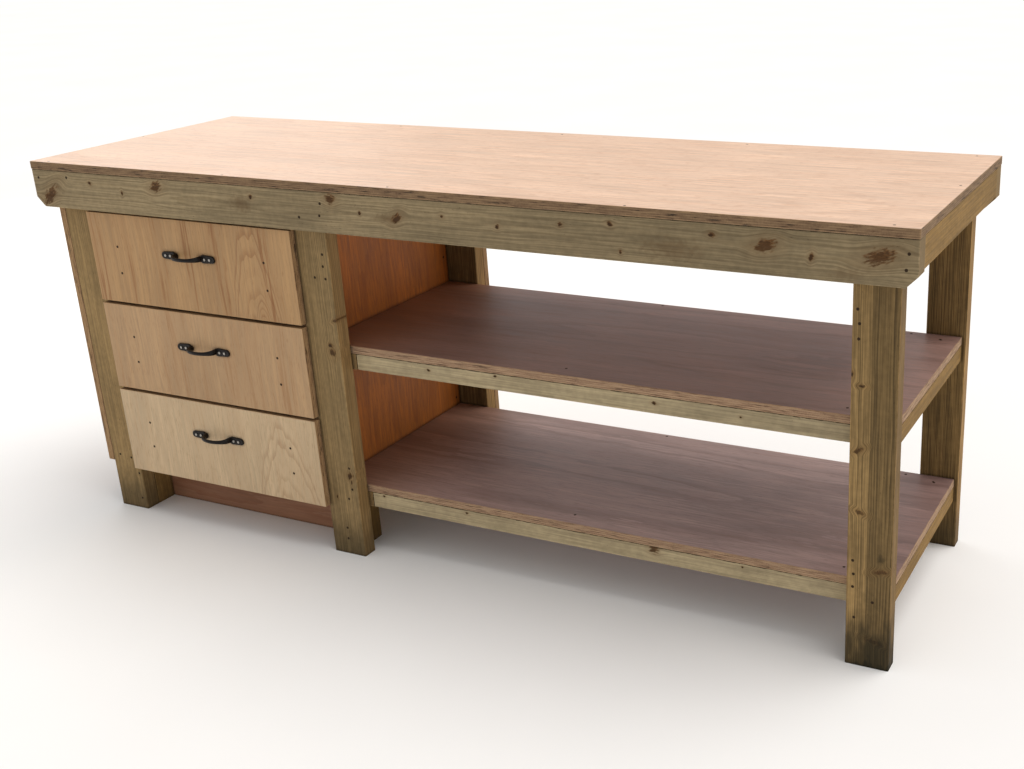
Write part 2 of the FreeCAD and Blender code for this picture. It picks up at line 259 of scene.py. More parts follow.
def between(value, low, high, to_low=0.0, to_high=1.0):
    """Smooth step from one level to another as a value goes from low to high."""
    inputs = {"Value": value, "From Min": low, "From Max": high, "To Min": to_low, "To Max": to_high}
    return node("ShaderNodeMapRange", inputs, interpolation_type="SMOOTHSTEP").outputs["Result"]


def ramp(value, to_low, to_high):
    """Smooth step from one level to another as a value goes from 0 to 1."""
    return between(value, 0.0, 1.0, to_low, to_high)


def vary(value, to_low, to_high):
    """Smooth step from one level to another over the usual range of a noise."""
    return between(value, *NOISE_RANGE, to_low, to_high)


def noise(position, stretch, detail=2.0, output="Fac"):
    """Noise, stretched by its own scale on each axis."""
    inputs = {"Vector": vector("MULTIPLY", position, stretch), "Scale": 1.0, "Detail": detail}
    return node("ShaderNodeTexNoise", inputs).outputs[output]


def mix(factor, first, second):
    """Mix two colours."""
    return node("ShaderNodeMix", {0: factor, 6: first, 7: second}, data_type="RGBA").outputs[2]


def tint(colour, mask, depth, other):
    """Mix another colour in where a mask says, to some depth."""
    return mix(times(mask, depth), colour, other)


def split(position):
    """The three parts of a vector."""
    return node("ShaderNodeSeparateXYZ", {0: position}).outputs


def join(x, y, z):
    """A vector from three parts."""
    return node("ShaderNodeCombineXYZ", {0: x, 1: y, 2: z}).outputs[0]


# Inputs of the effects that are vectors, where the others are plain values
VECTORS = ("board", "centre", "foot", "half_size", "high", "low", "pith", "place", "position", "size")


def socket_name(label):
    """The name of an input's socket, such as Half size for half_size."""
    return label.replace("_", " ").capitalize()


def build_group(name, build):
    """A node group for an effect, with a named socket for each of its inputs and results."""
    tree = bpy.data.node_groups.new(name, "ShaderNodeTree")
    labels = inspect.signature(build).parameters
    for label in labels:
        kind = "NodeSocketVector" if label in VECTORS else "NodeSocketFloat"
        tree.interface.new_socket(name=socket_name(label), in_out="INPUT", socket_type=kind)
    results = build(*tree.nodes.new("NodeGroupInput").outputs[:len(labels)])
    for label, value in results.items():
        kind = "NodeSocketVector" if value.type == "VECTOR" else "NodeSocketFloat"
        tree.interface.new_socket(name=label, in_out="OUTPUT", socket_type=kind)
    node("NodeGroupOutput", results, tree)
    return tree


def effect(tree, build, **inputs):
    """Place an effect in a tree, building its group the first time that it is wanted."""
    name = build.__name__.replace("_", " ").title()
    group = bpy.data.node_groups.get(name) or build_group(name, build)
    inputs = {socket_name(label): value for label, value in inputs.items()}
    return node("ShaderNodeGroup", inputs, tree, node_tree=group).outputs


# Effects that several materials share, each from its inputs to its results


def drifted(board, stretch, reach):
    """Places in a board, moved about by a slow noise."""
    drift = vector("SUBTRACT", noise(board, stretch, 2, "Color"), (0.5, 0.5, 0.5))
    return vector("ADD", board, vector("MULTIPLY", drift, reach))


def grain_lines(height, start, peak, end, least):
    """A line in each whole step of a height, with a tone of its own."""
    phase = maths("FRACT", height)
    line = times(between(phase, start, peak), between(phase, 1.0, end))
    luck = node("ShaderNodeTexWhiteNoise", {"W": maths("FLOOR", height)}, noise_dimensions="1D")
    return times(line, ramp(luck.outputs["Value"], least, 1.0))


def growth_rings(board, pith, ring_width, wander):
    """Growth rings, fibres and blotches of a softwood board."""
    bent = drifted(board, (7, 7, 1.4), join(wander, wander, 0.0))
    across = vector("MULTIPLY", vector("SUBTRACT", bent, pith), (1, 1, 0))
    rings = maths("DIVIDE", vector("LENGTH", across), ring_width)
    rings = maths("ADD", rings, noise(board, (60, 60, 9), 1))
    return {
        "Late wood": grain_lines(rings, 0.25, 0.88, 0.93, 0.3),
        "Fibre": noise(board, (1300, 1300, 24), 1),
        "Streak": noise(board, (330, 330, 7), 3),
        "Blotch": noise(board, (13, 13, 4.5), 4),
    }


def weathering(board):
    """Small spots and smudges that a treated board picks up in the yard."""
    spots = between(noise(board, (300, 300, 120), 2), 0.66, 0.76)
    patch = between(noise(board, (16, 16, 8), 2), 0.45, 0.65)
    return {"Spots": times(spots, patch), "Smudge": noise(board, (85, 85, 70), 4)}


def knot(board, core, rim, halo, centre, half_size, lean, heart):
    """One knot: grain bends round it, and it adds a streaky core, a dark heart and a halo."""
    away = vector("SUBTRACT", board, centre)
    turned = {"Vector": away, "Angle": lean}
    turned = node("ShaderNodeVectorRotate", turned, rotation_type="Y_AXIS").outputs[0]
    flat = vector("DIVIDE", vector("MULTIPLY", turned, (1, 0, 1)), half_size)
    distance = vector("LENGTH", flat)
    fibre = vector("ADD", turned, centre)
    rough = scaled(noise(fibre, (230, 0, 80), 3), 2.4, -1.2)
    ragged = maths("ADD", distance, rough)
    inner = between(ragged, 1.35, 0.6)
    streak = between(noise(fibre, (420, 0, 110), 3), 0.44, 0.58)
    dark = vector("LENGTH", vector("ADD", flat, (0.2, 0.0, 0.15)))
    dark = times(between(maths("ADD", dark, rough), 1.0, 0.5), heart)
    dark = maths("MAXIMUM", times(times(streak, inner), 0.8), dark)
    bend = times(split(away)[0], times(between(distance, *KNOT_REACH), KNOT_PULL))
    return {
        "Board": vector("ADD", board, join(bend, 0.0, 0.0)),
        "Core": maths("MAXIMUM", core, inner),
        "Rim": maths("MAXIMUM", rim, dark),
        "Halo": maths("MAXIMUM", halo, between(ragged, 3.4, 0.9)),
    }


def stray_knots(board, share, radius):
    """Small knots scattered along a board, with the grain bent round them."""
    cells = vector("MULTIPLY", board, STRAY_SPACING)
    found = node("ShaderNodeTexVoronoi", {"Vector": cells, "Scale": 1.0}).outputs
    luck = split(found["Color"])
    there = maths("LESS_THAN", luck[0], share)
    distance = maths("DIVIDE", found["Distance"], times(radius, ramp(luck[1], 0.35, 1.0)))
    ragged = maths("ADD", distance, scaled(noise(board, (150, 0, 150), 3), 1.4, -0.7))
    edge = maths("ABSOLUTE", maths("SUBTRACT", ragged, 0.85))
    bend = times(between(distance, *KNOT_REACH), there)
    away = split(vector("SUBTRACT", cells, found["Position"]))[0]
    bend = times(times(away, bend), KNOT_PULL / STRAY_SPACING[0])
    return {
        "Board": vector("ADD", board, join(bend, 0.0, 0.0)),
        "Core": times(between(ragged, 1.2, 0.8), there),
        "Rim": times(between(edge, 0.28, 0.02), there),
        "Halo": times(between(ragged, 2.8, 0.9), there),
    }


def arris(position, low, high, width):
    """How near a point of a board is to its arrises."""
    inside = [vector("SUBTRACT", *pair) for pair in ((position, low), (high, position))]
    x, y, z = split(vector("MINIMUM", *inside))[:3]
    second = maths("MINIMUM", maths("MAXIMUM", x, y), z)
    second = maths("MAXIMUM", maths("MINIMUM", x, y), second)
    reach = times(width, between(noise(position, (70, 70, 70), 3), 0.3, 0.75, 0.15, 1.5))
    return {"Arris": between(maths("DIVIDE", second, reach), 1.0, 0.1)}


def figure_arch(board, hill, foot, size, lines):
    """One arch of figure: a smooth hill, and the grain lines of a veneer run round it."""
    across, _, along = split(vector("DIVIDE", vector("SUBTRACT", board, foot), size))[:3]
    arch = maths("SUBTRACT", maths("SUBTRACT", 1.0, along), times(across, across))
    return {"Hill": maths("ADD", hill, times(maths("MAXIMUM", arch, 0.0), lines))}


def veneer(board, hill, figure_width, bands, stretch, run):
    """Contour lines, pores, streaks and blotches of a sliced hardwood face."""
    board = drifted(board, (5, 5, 3), (0.03, 0.0, 0.0))
    wide = maths("DIVIDE", 1.0, figure_width)
    ground = vector("MULTIPLY", board, join(wide, wide, maths("DIVIDE", wide, stretch)))
    ground = {"Vector": ground, "Scale": 1.0, "Detail": 1.0, "Distortion": 0.15}
    height = scaled(node("ShaderNodeTexNoise", ground).outputs["Fac"], bands, hill)
    height = scaled(noise(board, (60, 60, 12), 3), 0.8, height)
    streak = noise(board, join(190.0, 190.0, run), 5)
    patch = between(noise(board, (26, 26, 2), 1), 0.46, 0.66)
    return {
        "Figure": grain_lines(height, 0.40, 0.93, 0.95, 0.2),
        "Pores": between(noise(board, (520, 520, 38), 3), 0.56, 0.68),
        "Blotch": noise(board, (11, 11, 3), 4),
        "Streak": streak,
        "Flame": times(between(streak, 0.42, 0.66), patch),
    }


def crevice(reach):
    """Where one board meets another, which holds shade and dust."""
    open_sky = node("ShaderNodeAmbientOcclusion", {"Distance": reach}, samples=3).outputs["AO"]
    return {"Crevice": between(open_sky, 0.92, 0.50)}


def ply_layers(depth, layers, position):
    """Layers of a ply edge: mottled tone of each layer, thin glue lines and torn gaps."""
    depth = maths("ADD", times(depth, layers), scaled(noise(position, (9, 9, 9), 1), 0.8, -0.4))
    whole = maths("FLOOR", depth)
    step = times(whole, 7.3)
    along = vector("ADD", vector("MULTIPLY", position, (26, 26, 26)), join(step, step, step))
    tear = noise(along, (1, 1, 1), 4)
    tone = scaled(maths("PINGPONG", whole, 1.0), 0.18, scaled(tear, 1.5, -0.45))
    tone = scaled(noise(position, (500, 500, 500), 2), 0.6, maths("SUBTRACT", tone, 0.30))
    return {
        "Layer": between(tone, -0.1, 1.0),
        "Glue": between(maths("PINGPONG", depth, 0.5), 0.14, 0.02),
        "Gap": between(tear, 0.58, 0.70),
    }


def foot_dirt(position, reach):
    """Dirt that creeps up from the floor."""
    height = maths("DIVIDE", split(position)[2], reach)
    cloud = scaled(noise(position, (60, 60, 16), 4), 1.4, -0.7)
    high = times(between(maths("ADD", height, cloud), 1.1, 0.2), 0.85)
    return {"Dirt": maths("MAXIMUM", high, between(scaled(cloud, 0.5, height), 0.35, 0.0))}


def sunk_screw(place):
    """A sunk cross-head screw, from a place measured in radii of its hole."""
    flat = vector("MULTIPLY", place, (1, 1, 0))
    distance = vector("LENGTH", flat)
    slot = between(maths("MINIMUM", *split(vector("ABSOLUTE", flat))[:2]), 0.13, 0.08)
    return {
        "Hole": between(distance, 1.0, 0.88),
        "Head": between(distance, 0.82, 0.74),
        "Recess": times(slot, between(distance, 0.52, 0.46)),
    }


def cast_skin(position, rub):
    """The fine pebbled skin of cast iron, its softened corners and the edges that hands rub."""
    soft = node("ShaderNodeBevel", {"Radius": rub}, samples=6).outputs[0]
    sharp = node("ShaderNodeNewGeometry", tree=position.id_data).outputs["Normal"]
    patch = between(noise(position, (160, 160, 160), 2), 0.42, 0.62)
    return {
        "Skin": noise(position, (900, 900, 900), 3),
        "Worn": times(between(vector("DOT_PRODUCT", soft, sharp), 0.97, 0.80), patch),
        "Soft normal": soft,
    }


# Materials


def start_material(name):
    """A new material with its shader, and the place of each point on the object."""
    material = bpy.data.materials.new(name)
    material.use_nodes = True
    tree = material.node_tree
    shader = tree.nodes["Principled BSDF"]
    place = node("ShaderNodeTexCoord", tree=tree).outputs["Object"]
    return material, tree, shader, place


def coat(shader, colour, roughness, gloss=0.5):
    """Give a shader its colour, roughness and gloss."""
    feed(shader.inputs["Base Color"], colour)
    feed(shader.inputs["Roughness"], roughness)
    feed(shader.inputs["Specular IOR Level"], gloss)


def set_bump(shader, height, bump, normal=None):
    """Raise the surface by a height, on its own normal or on another."""
    inputs = {"Height": height, "Strength": bump[0], "Distance": bump[1]}
    if normal is not None:
        inputs["Normal"] = normal
    feed(shader.inputs["Normal"], node("ShaderNodeBump", inputs).outputs[0])


def dress(piece, material):
    """Give a piece one material all over."""
    piece.data.materials.clear()
    piece.data.materials.append(material)


def board_order(low, high, grain=None, face=None):
    """Axes of a board as across, thick and along, from its size, its grain or the way it faces."""
    size = high - low
    thick = min(range(3), key=lambda axis: size[axis]) if face is None else "XYZ".index(face)
    rest = [axis for axis in range(3) if axis != thick]
    along = max(rest, key=lambda axis: size[axis]) if grain is None else "XYZ".index(grain)
    across = [axis for axis in rest if axis != along][0]
    return across, thick, along


def board_place(place, order, shift):
    """A point's place in board axes, shifted so that no two boards show the same wood."""
    parts = split(place)
    return vector("ADD", join(*(parts[axis] for axis in order)), shift)


def facing_along(tree, axis):
    """1 on faces that are square to an axis."""
    normal = node("ShaderNodeTexCoord", tree=tree).outputs["Normal"]
    return between(maths("ABSOLUTE", split(normal)[axis]), 0.6, 0.9)


def share_along(place, low, high, axis):
    """How far along a board a point is, as a share of its length."""
    share = maths("SUBTRACT", split(place)[axis], low[axis])
    return maths("DIVIDE", share, high[axis] - low[axis])


def brightness(colour, *factors):
    """Multiply a colour by some values."""
    light = factors[0]
    for factor in factors[1:]:
        light = times(light, factor)
    return vector("MULTIPLY", colour, join(light, light, light))


def wear(tree, place, low, high, width):
    """How worn a board's arrises are, and the shade in its joints."""
    worn = effect(tree, arris, position=place, low=low, high=high, width=width)["Arris"]
    joint = effect(tree, crevice, reach=JOINT_REACH)["Crevice"]
    return worn, ramp(joint, 1.0, JOINT_SHADE)


def stain_mask(place, centre, half):
    """A soft ragged stain round a place."""
    away = vector("DIVIDE", vector("SUBTRACT", place, centre), half)
    away = scaled(noise(place, (120, 120, 120), 4), 1.6, vector("LENGTH", away))
    return between(away, 1.9, 0.8)


def add_knots(tree, board, knots, middle, shift):
    """Stray knots of a board and the ones that are told, as its bent grain and their masks."""
    share = STRAY_SHARE_AMONG_KNOTS if knots else STRAY_SHARE
    grown = effect(tree, stray_knots, board=board, share=share, radius=STRAY_RADIUS)
    for across, along, half_across, half_along, lean in knots:
        sofar = {label.lower(): grown[label] for label in ("Board", "Core", "Rim", "Halo")}
        sofar["centre"] = (across + shift[0], middle[1] + shift[1], along + shift[2])
        sofar["half_size"] = (half_across, 1.0, half_along)
        heart = min(1.0, SMALL_KNOT / half_across)
        grown = effect(tree, knot, **sofar, lean=lean, heart=heart)
    return grown


def softwood(name, looks, knots=(), stains=(), warmth=0.3, tone=1.0, lines=0.5, wander=0.015, strip=0.0,
             flat=False, fade=1.0, grime=0.6, edges=0.0, edge_gain=1.0, coarse=1.0, knot_depth=0.85,
             face=None):
    """Treated softwood for one board, with its own rings, knots, stains, arrises and dirt."""
    colours, sizes = looks
    low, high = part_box(name)
    order = board_order(low, high, face=face)
    across, _, along = order
    luck = random.Random(name)
    shift = Vector([luck.uniform(-4, 4) for _ in range(3)])
    material, tree, shader, place = start_material(f"softwood_{name}")
    board = board_place(place, order, shift)
    weather = effect(tree, weathering, board=board)
    middle = [(low[axis] + high[axis]) / 2 for axis in order]
    grown = add_knots(tree, board, knots, middle, shift)
    aside = luck.uniform(-0.02, 0.02) if flat else luck.choice((-1, 1)) * luck.uniform(0.07, 0.11)
    depth = luck.choice((-1, 1)) * luck.uniform(0.03, 0.06)
    pith = (middle[0] + shift[0] + aside, middle[1] + shift[1] + depth, 0)
    grain = effect(tree, growth_rings, board=grown["Board"], pith=pith,
                   ring_width=sizes.ring_width * luck.uniform(0.85, 1.2), wander=wander)
    pale = [grey + (warm - grey) * warmth for grey, warm in zip(colours.timber_pale, colours.timber_warm)]
    colour = mix(times(grain["Late wood"], lines), pale, colours.timber_dark)
    streak = vary(grain["Streak"], 1 - 0.20 * coarse, 1 + 0.14 * coarse)
    blotch = vary(grain["Blotch"], 0.86, 1.10)
    smudge = vary(weather["Smudge"], 0.91 * tone, 1.07 * tone)
    colour = brightness(colour, streak, blotch, smudge)
    # Side faces take the warm sawn-edge colour, raised by the side light gain as painted light on the lit sides
    # of the legs
    if edges:
        edge = brightness(colours.timber_edge, edge_gain, streak, blotch)
        colour = tint(colour, facing_along(tree, across), edges, edge)
    if strip:
        edge = maths("ADD", split(place)[across], -(low[across] + strip))
        edge = maths("ADD", edge, scaled(grain["Streak"], 0.004, -0.002))
        colour = brightness(colour, between(edge, STRIP_BLUR, -STRIP_BLUR, 1.0, STRIP_GAIN))
    if fade != 1:
        share = share_along(place, low, high, along)
        colour = brightness(colour, ramp(share, 1.0, fade))
    for centre, half, depth, stain in stains:
        colour = tint(colour, stain_mask(place, centre, half), depth, getattr(colours, stain))
    marks = (
        (weather["Spots"], 0.5, colours.knot_rim),
        (grown["Halo"], 0.18, colours.knot),
        (grown["Core"], knot_depth, colours.knot),
        (grown["Rim"], 0.82, colours.knot_rim),
        (facing_along(tree, along), 0.55, colours.end_grain),
    )
    for mask, depth, mark in marks:
        colour = tint(colour, mask, depth, mark)
    # Arrises lighter from wear and from a painted highlight along them, joints darker with painted shade
    worn, joint = wear(tree, place, low, high, sizes.wear_width)
    colour = brightness(colour, ramp(worn, 1.0, ARRIS_GAIN), joint)
    # Painted shadow line along the top of each rail: the shade in the gap under the board that lies on it
    if "rail" in name:
        drop = maths("SUBTRACT", high.z, split(place)[2])
        reach = between(weather["Smudge"], 0.35, 0.65, SEAM_WIDTH * 0.3, SEAM_WIDTH * 1.4)
        seam = between(maths("DIVIDE", drop, reach), 1.0, 0.5)
        colour = tint(colour, seam, 0.8, colours.knot_rim)
    if low.z < sizes.dirt_height:
        reach = sizes.dirt_height * (0.5 + grime)
        dirt = effect(tree, foot_dirt, position=place, reach=reach)["Dirt"]
        colour = tint(colour, dirt, grime, colours.dirt)
    coat(shader, colour, vary(grain["Fibre"], 0.66, 0.84), TIMBER_GLOSS)
    height = scaled(grain["Late wood"], 0.4, times(grain["Fibre"], 0.6))
    height = maths("SUBTRACT", height, times(grown["Rim"], 0.6))
    set_bump(shader, height, TIMBER_BUMP)
    return material


def edge_colour(tree, colours, depth, thick, place, tone, gaps):
    """Colour of a sheet's layered edge."""
    layers = round(thick / LAYER_THICK)
    edge = effect(tree, ply_layers, depth=depth, layers=layers, position=place)
    colour = mix(edge["Layer"], colours.core_pale, colours.core_dark)
    colour = tint(colour, edge["Glue"], 0.22, colours.core_dark)
    colour = tint(colour, edge["Gap"], gaps, colours.dirt)
    return vector("MULTIPLY", colour, tone)


def painted_screws(tree, looks, place, screws, colour, height):
    """Sunk screws drawn in the top face of a sheet, as its new colour, height and metal mask."""
    colours, sizes = looks
    scale = 1 / sizes.screw_radius
    metal = 0.0
    parts = split(place)
    for across, along in screws:
        x = scaled(parts[0], scale, -across * scale)
        y = scaled(parts[1], scale, -along * scale)
        screw = effect(tree, sunk_screw, place=join(x, y, 0.0))
        # The dark ring round each head and its cross recess are painted shade of the sunk hole
        colour = mix(screw["Hole"], colour, colours.knot_rim)
        head = times(screw["Head"], maths("SUBTRACT", 1.0, screw["Recess"]))
        colour = mix(head, colour, colours.bronze)
        height = maths("SUBTRACT", height, times(screw["Hole"], 2.0))
        metal = maths("MAXIMUM", metal, head)
    return colour, height, metal


def ply_sheet(name, looks, pale, dark, grain, figure, strength, arches=(), screws=(), gloss=0.35,
              rough=0.55, pores=0.3, streaks=0.08, flame=0.0, clouds=0.06, run=7.0,
              edge_tone=(1.0, 1.0, 1.0), gaps=0.75, tints=(), corners=None):
    """Hardwood-faced ply for one sheet: veneer on its faces and layers on its edges."""
    colours, sizes = looks
    pale, dark = getattr(colours, pale), getattr(colours, dark)
    low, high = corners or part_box(name)
    order = board_order(low, high, grain)
    luck = random.Random(name)
    shift = Vector([luck.uniform(-4, 4) for _ in range(3)])
    material, tree, shader, place = start_material(f"ply_{name}")
    board = board_place(place, order, shift)
    hill = 0.0
    for across, along, width, height, lines in arches:
        foot = (across + shift[0], 0, along + shift[2])
        size = (width, 1.0, height)
        hill = effect(tree, figure_arch, board=board, hill=hill, foot=foot, size=size, lines=lines)["Hill"]
    width, bands, stretch = figure
    face = effect(tree, veneer, board=board, hill=hill, figure_width=width, bands=bands,
                  stretch=stretch, run=run)
    colour = mix(times(face["Figure"], strength), pale, dark)
    streak = vary(face["Streak"], 1 - streaks, 1 + streaks)
    blotch = vary(face["Blotch"], 1 - clouds, 1 + clouds)
    colour = brightness(colour, streak, blotch)
    # Painted light along a sheet's length: warm bounce light and shade towards its ends
    for start, end, tone in tints:
        reach = between(share_along(place, low, high, order[2]), start, end)
        colour = mix(reach, colour, vector("MULTIPLY", colour, tone))
    colour = tint(colour, face["Flame"], flame, dark)
    colour = tint(colour, face["Pores"], pores, dark)
    thick = high[order[1]] - low[order[1]]
    depth = scaled(split(place)[order[1]], 1 / thick, -low[order[1]] / thick)
    on_face = facing_along(tree, order[1])
    colour = mix(on_face, edge_colour(tree, colours, depth, thick, place, edge_tone, gaps), colour)
    worn, joint = wear(tree, place, low, high, sizes.wear_width)
    colour = brightness(tint(colour, worn, 0.3, colours.core_pale), joint)
    height = scaled(face["Pores"], -0.6, times(face["Streak"], 0.3))
    if screws:
        colour, height, metal = painted_screws(tree, looks, place, screws, colour, height)
        feed(shader.inputs["Metallic"], times(metal, 0.2))
    polish = vary(face["Streak"], rough - 0.05, rough + 0.09)
    coat(shader, colour, ramp(on_face, EDGE_ROUGHNESS, polish), gloss)
    set_bump(shader, height, PLY_BUMP)
    return material


def black_iron(looks):
    """Black cast iron, rubbed a little at its edges."""
    colours = looks[0]
    material, tree, shader, place = start_material("black_iron")
    cast = effect(tree, cast_skin, position=place, rub=HANDLE_RUB)
    colour = mix(cast["Worn"], colours.iron, colours.iron_worn)
    coat(shader, colour, vary(cast["Skin"], 0.30, 0.46), IRON_GLOSS)
    set_bump(shader, cast["Skin"], IRON_BUMP, cast["Soft normal"])
    return material


def plated_steel(name, looks, rough):
    """Bright plated steel with faint draw marks."""
    zinc = looks[0].zinc
    material, tree, shader, place = start_material(name)
    marks = noise(place, (900, 25, 900), 3)
    dark = {0: zinc, 1: STEEL_SHADE}
    dark = node("ShaderNodeVectorMath", dark, tree, operation="MULTIPLY").outputs[0]
    colour = mix(vary(marks, 0.0, 1.0), dark, zinc)
    coat(shader, colour, vary(marks, rough, rough + 0.16))
    feed(shader.inputs["Metallic"], 1.0)
    set_bump(shader, marks, STEEL_BUMP)
    return material


def sunk_screw_face(looks):
    """Face of a screw that lies sunk in a board, in a dark rim that is crushed wood and painted shade of its
    hole, with painted shade in its cross recess.
    """
    colours = looks[0]
    material, tree, shader, _ = start_material("sunk_screw")
    place = node("ShaderNodeUVMap", tree=tree, uv_map=SCREW_MAP).outputs[0]
    screw = effect(tree, sunk_screw, place=place)
    head = times(screw["Head"], maths("SUBTRACT", 1.0, screw["Recess"]))
    # Dark round the head and in the cross recess: painted shade of the sunk hole
    colour = mix(head, colours.knot_rim, colours.bronze)
    coat(shader, colour, ramp(head, 0.85, 0.65), SCREW_GLOSS)
    set_bump(shader, screw["Head"], SCREW_BUMP)
    return material


# Pieces


def add_object(name, data):
    """Add an object to the scene."""
    made = bpy.data.objects.new(name, data)
    bpy.context.scene.collection.objects.link(made)
    return made


def add_shape(name, shape):
    """Add a shape to the scene as an object."""
    mesh = bpy.data.meshes.new(name)
    shape.to_mesh(mesh)
    shape.free()
    return add_object(name, mesh)


def screw_discs(name, body, places, out, looks):
    """Sunk screws in one face of the bench, as closed discs with their own map."""
    out = Vector(out)
    side = out.cross(Vector((0, 0, 1)) if abs(out.z) < 0.5 else Vector((0, 1, 0))).normalized()
    up = side.cross(out)
    radius = looks[1].screw_radius
    angles = [2 * math.pi * step / SCREW_SIDES for step in range(SCREW_SIDES)]
    spokes = [(side * math.cos(angle) + up * math.sin(angle)) * radius for angle in angles]
    shape = bmesh.new()
    uv = shape.loops.layers.uv.new(SCREW_MAP)
    for number, place in enumerate(places):
        centre = Vector(place) + out * SCREW_LIFT
        turn = random.Random(f"{name}{number}").uniform(0, math.pi)
        levels = (centre, centre - out * SCREW_DEPTH)
        front, back = [[shape.verts.new(level + spoke) for spoke in spokes] for level in levels]
        faces = [shape.faces.new(front), shape.faces.new(back)]
        for step in range(SCREW_SIDES):
            after = (step + 1) % SCREW_SIDES
            faces.append(shape.faces.new([front[step], front[after], back[after], back[step]]))
        for loop in [loop for face in faces for loop in face.loops]:
            away = loop.vert.co - centre
            x, y = away.dot(side) / radius, away.dot(up) / radius
            loop[uv].uv = (x * math.cos(turn) - y * math.sin(turn), x * math.sin(turn) + y * math.cos(turn))
    bmesh.ops.recalc_face_normals(shape, faces=shape.faces)
    piece = add_shape(name, shape)
    dress(piece, bpy.data.materials.get("sunk_screw") or sunk_screw_face(looks))
    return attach(piece, body)


def node_names(*endings):
    """Names of the frame's nodes that end in one of these ways."""
    found = [name for name in sorted(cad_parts) if name.endswith(endings)]
    if not found:
        raise RuntimeError(f"the frame has no node that ends in {endings}")
    return found


# Knots of the front rail, each as height, place along, half height, half length and lean
FRONT_RAIL_KNOTS = (
    (0.823, -1.012, 0.011, 0.030, -0.75),
    (0.863, -0.672, 0.010, 0.015, -0.4),
    (0.868, -0.185, 0.010, 0.011, 0.0),
    (0.839, -0.020, 0.008, 0.013, -0.7),
    (0.849, 0.781, 0.011, 0.019, -0.3),
    (0.846, 0.991, 0.012, 0.026, -0.3),
    (0.858, -0.877, 0.004, 0.005, 0.4),
    (0.841, -0.780, 0.005, 0.003, 0.0),
    (0.858, -0.400, 0.005, 0.004, -0.5),
    (0.855, 0.363, 0.004, 0.005, -0.4),
    (0.864, 0.470, 0.005, 0.006, 0.0),
    (0.860, 0.677, 0.005, 0.006, 0.0),
    (0.835, 0.867, 0.007, 0.004, 0.2),
    (0.843, -0.112, 0.004, 0.003, 0.0),
    (0.851, 0.091, 0.004, 0.004, 0.0),
    (0.840, 0.221, 0.005, 0.004, 0.3),
    (0.811, 0.490, 0.004, 0.003, 0.0),
)
# Stains, each as centre, half size, depth and colour
FRONT_RAIL_STAINS = (
    ((-0.430, -0.336, 0.842), (0.036, 0.03, 0.026), 0.50, "stain"),
    ((-0.050, -0.336, 0.836), (0.036, 0.03, 0.014), 0.45, "stain"),
    ((0.600, -0.336, 0.826), (0.080, 0.03, 0.028), 0.45, "stain"),
    ((0.930, -0.336, 0.808), (0.050, 0.03, 0.014), 0.35, "stain"),
)
# Knots of the front legs, as place across, height, half width, half height and lean
RIGHT_LEG_KNOTS = (
    (0.953, 0.590, 0.007, 0.003, 0.0),
    (0.950, 0.462, 0.010, 0.004, 0.5),
    (0.955, 0.335, 0.010, 0.004, -0.3),
    (0.934, 0.612, 0.003, 0.005, 0.0),
    (1.000, 0.216, 0.013, 0.004, 0.2),
    (0.990, 0.060, 0.014, 0.004, -0.2),
)
RIGHT_LEG_STAINS = (
    ((1.000, -0.298, 0.245), (0.010, 0.03, 0.018), 0.60, "dirt"),
    ((0.985, -0.298, 0.150), (0.030, 0.03, 0.030), 0.25, "dirt"),
)
RIGHT_LEG_STRIP = 0.039
MIDDLE_LEG_KNOTS = (
    (-0.244, 0.584, 0.010, 0.003, 0.4),
    (-0.262, 0.508, 0.008, 0.010, 0.2),
    (-0.264, 0.524, 0.004, 0.005, 0.2),
    (-0.258, 0.206, 0.0075, 0.0075, 0.0),
    (-0.256, 0.190, 0.0015, 0.006, 0.0),
    (-0.303, 0.146, 0.002, 0.004, 0.0),
)
# Knots of the shelves' front rails, as height, place along, half height, half length and lean
UPPER_SHELF_KNOTS = (
    (0.482, -0.035, 0.0030, 0.004, 0.0),
    (0.490, 0.137, 0.0025, 0.004, 0.0),
    (0.481, 0.512, 0.0035, 0.005, 0.0),
    (0.478, 0.700, 0.0020, 0.003, 0.0),
)
LOWER_SHELF_KNOTS = (
    (0.148, -0.197, 0.0020, 0.003, 0.0),
    (0.146, 0.031, 0.0030, 0.004, 0.0),
    (0.147, 0.500, 0.0090, 0.010, 0.0),
    (0.146, 0.700, 0.0020, 0.002, 0.0),
)
